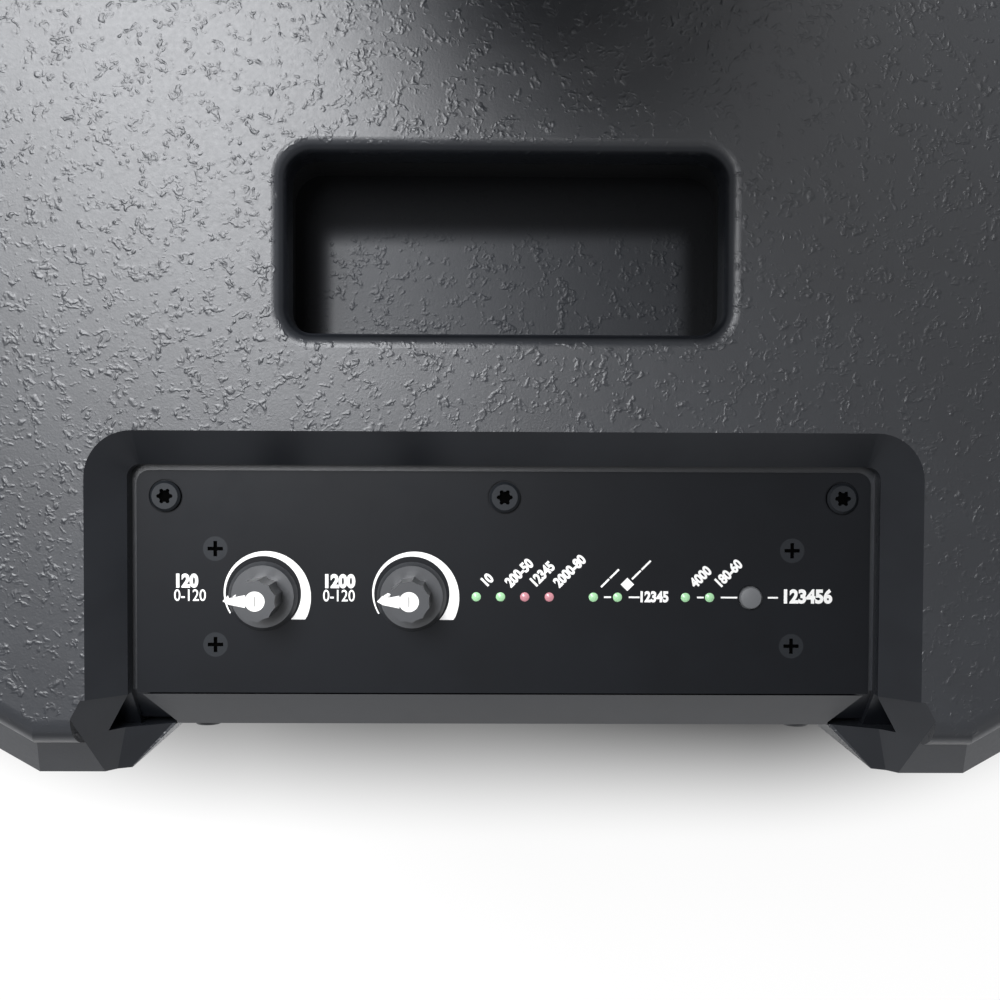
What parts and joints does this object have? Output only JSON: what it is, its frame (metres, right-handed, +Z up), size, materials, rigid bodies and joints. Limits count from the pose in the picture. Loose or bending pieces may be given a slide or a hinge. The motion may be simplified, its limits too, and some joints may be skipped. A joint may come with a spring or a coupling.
{
  "type": "powered bass cabinet of a portable line array speaker",
  "caption": "Portable powered loudspeaker cabinet with a textured coat, lifting grip, threaded pole socket, recessed control plate on the top rear edge and a perforated grille.",
  "frame": {"origin": "centre of the bounding box on the floor, under the feet", "axes": "+Z up, -Y to the front where the grille is, +Y to the rear plate, +X to the left of a person behind the cabinet"},
  "size_m": [0.35, 0.43, 0.4815],
  "materials": {
    "coat": "thick textured coating on plywood, satin",
    "plywood": "bare plywood",
    "wadding": "loose fibre",
    "cast_metal": "black powder coat",
    "black_screw": "black zinc, satin",
    "zinc_screw": "zinc plated",
    "rubber": "matte rubber",
    "steel_sheet": "black satin paint",
    "foam": "open-cell foam",
    "black_plastic": "black moulded plastic",
    "paper_cone": "pressed paper pulp",
    "spider_cloth": "varnished cloth",
    "copper": "enamelled copper wire and brass tabs",
    "steel": "zinc plated steel",
    "ferrite": "sintered ferrite",
    "green_lens": "clear tinted lens",
    "red_lens": "clear tinted lens",
    "board": "solder resist",
    "knob_grey": "grey soft-touch plastic",
    "white": "white moulded plastic",
    "anodised": "black anodised",
    "capacitor": "plastic sleeve"
  },
  "bodies": {
    "cabinet": {"top_panel": "coat", "bottom_panel": "coat", "left_side_panel": "coat", "right_side_panel": "coat", "rear_panel": "coat", "baffle": "coat", "window_brace": "plywood", "plate_frame": "coat", "handle_tray": "coat", "wadding": "wadding", "pole_socket": "cast_metal", "pole_socket_screws": "black_screw", "feet": "rubber", "foot_screws": "zinc_screw", "grille": "steel_sheet", "grille_foam": "foam", "grille_spacers": "black_plastic", "grille_screws": "black_screw", "woofer_basket": "cast_metal", "woofer_surround": "rubber", "spider": "spider_cloth", "top_plate": "steel", "magnet": "ferrite", "yoke": "steel", "woofer_terminals": "copper", "woofer_screws": "black_screw", "port_tubes": "black_plastic", "control_plate": "steel_sheet", "rear_plate": "steel_sheet", "plate_screws": "black_screw", "board_screws": "black_screw", "green_lamps": "green_lens", "red_lamps": "red_lens", "control_board": "board", "potentiometers": "steel", "button_switch": "black_plastic", "rear_potentiometers": "steel", "combo_sockets": "black_plastic", "line_out_sockets": "black_plastic", "speaker_sockets": "black_plastic", "mains_inlet": "black_plastic", "rocker_housing": "black_plastic", "heat_sink": "anodised", "amplifier_board": "board", "capacitors": "capacitor"},
    "sub_knob": {"sub_knob": "knob_grey", "sub_knob_pointer": "white"},
    "main_knob": {"main_knob": "knob_grey", "main_knob_pointer": "white"},
    "system_button": {"system_button": "knob_grey"},
    "channel_1_knob": {"channel_1_knob": "knob_grey"},
    "channel_2_knob": {"channel_2_knob": "knob_grey"},
    "channel_3_knob": {"channel_3_knob": "knob_grey"},
    "channel_4_knob": {"channel_4_knob": "knob_grey"},
    "fuse_drawer": {"fuse_drawer": "black_plastic"},
    "power_rocker": {"power_rocker": "black_plastic"},
    "woofer_cone": {"woofer_cone": "paper_cone", "dust_cap": "paper_cone", "voice_coil": "copper"}
  },
  "joints": [
    {"name": "sub_knob_turn", "type": "hinge", "parent": "cabinet", "child": "sub_knob", "pos_m": [0.0784, 0.1558, 0.465], "axis": [0, 0, -1], "range_deg": [-50, 230]},
    {"name": "main_knob_turn", "type": "hinge", "parent": "cabinet", "child": "main_knob", "pos_m": [0.0301, 0.1558, 0.465], "axis": [0, 0, -1], "range_deg": [-50, 230]},
    {"name": "system_button_press", "type": "slide", "parent": "cabinet", "child": "system_button", "axis": [0, 0, -1], "range_m": [0, 0.0008], "stiffness_N_per_m": 600, "springref_m": -0.0008},
    {"name": "channel_1_knob_turn", "type": "hinge", "parent": "cabinet", "child": "channel_1_knob", "pos_m": [0.069, 0.2, 0.378], "axis": [0, -1, 0], "range_deg": [-140, 140]},
    {"name": "channel_2_knob_turn", "type": "hinge", "parent": "cabinet", "child": "channel_2_knob", "pos_m": [0.023, 0.2, 0.378], "axis": [0, -1, 0], "range_deg": [-140, 140]},
    {"name": "channel_3_knob_turn", "type": "hinge", "parent": "cabinet", "child": "channel_3_knob", "pos_m": [-0.023, 0.2, 0.378], "axis": [0, -1, 0], "range_deg": [-140, 140]},
    {"name": "channel_4_knob_turn", "type": "hinge", "parent": "cabinet", "child": "channel_4_knob", "pos_m": [-0.069, 0.2, 0.378], "axis": [0, -1, 0], "range_deg": [-140, 140]},
    {"name": "fuse_drawer_slide", "type": "slide", "parent": "cabinet", "child": "fuse_drawer", "axis": [0, 1, 0], "range_m": [0, 0.018]},
    {"name": "power_rocker_tilt", "type": "hinge", "parent": "cabinet", "child": "power_rocker", "pos_m": [0, 0.195, 0.196], "axis": [1, 0, 0], "range_deg": [-18, 0]},
    {"name": "woofer_cone_stroke", "type": "slide", "parent": "cabinet", "child": "woofer_cone", "axis": [0, -1, 0], "range_m": [-0.005, 0.005], "stiffness_N_per_m": 3000}
  ]
}
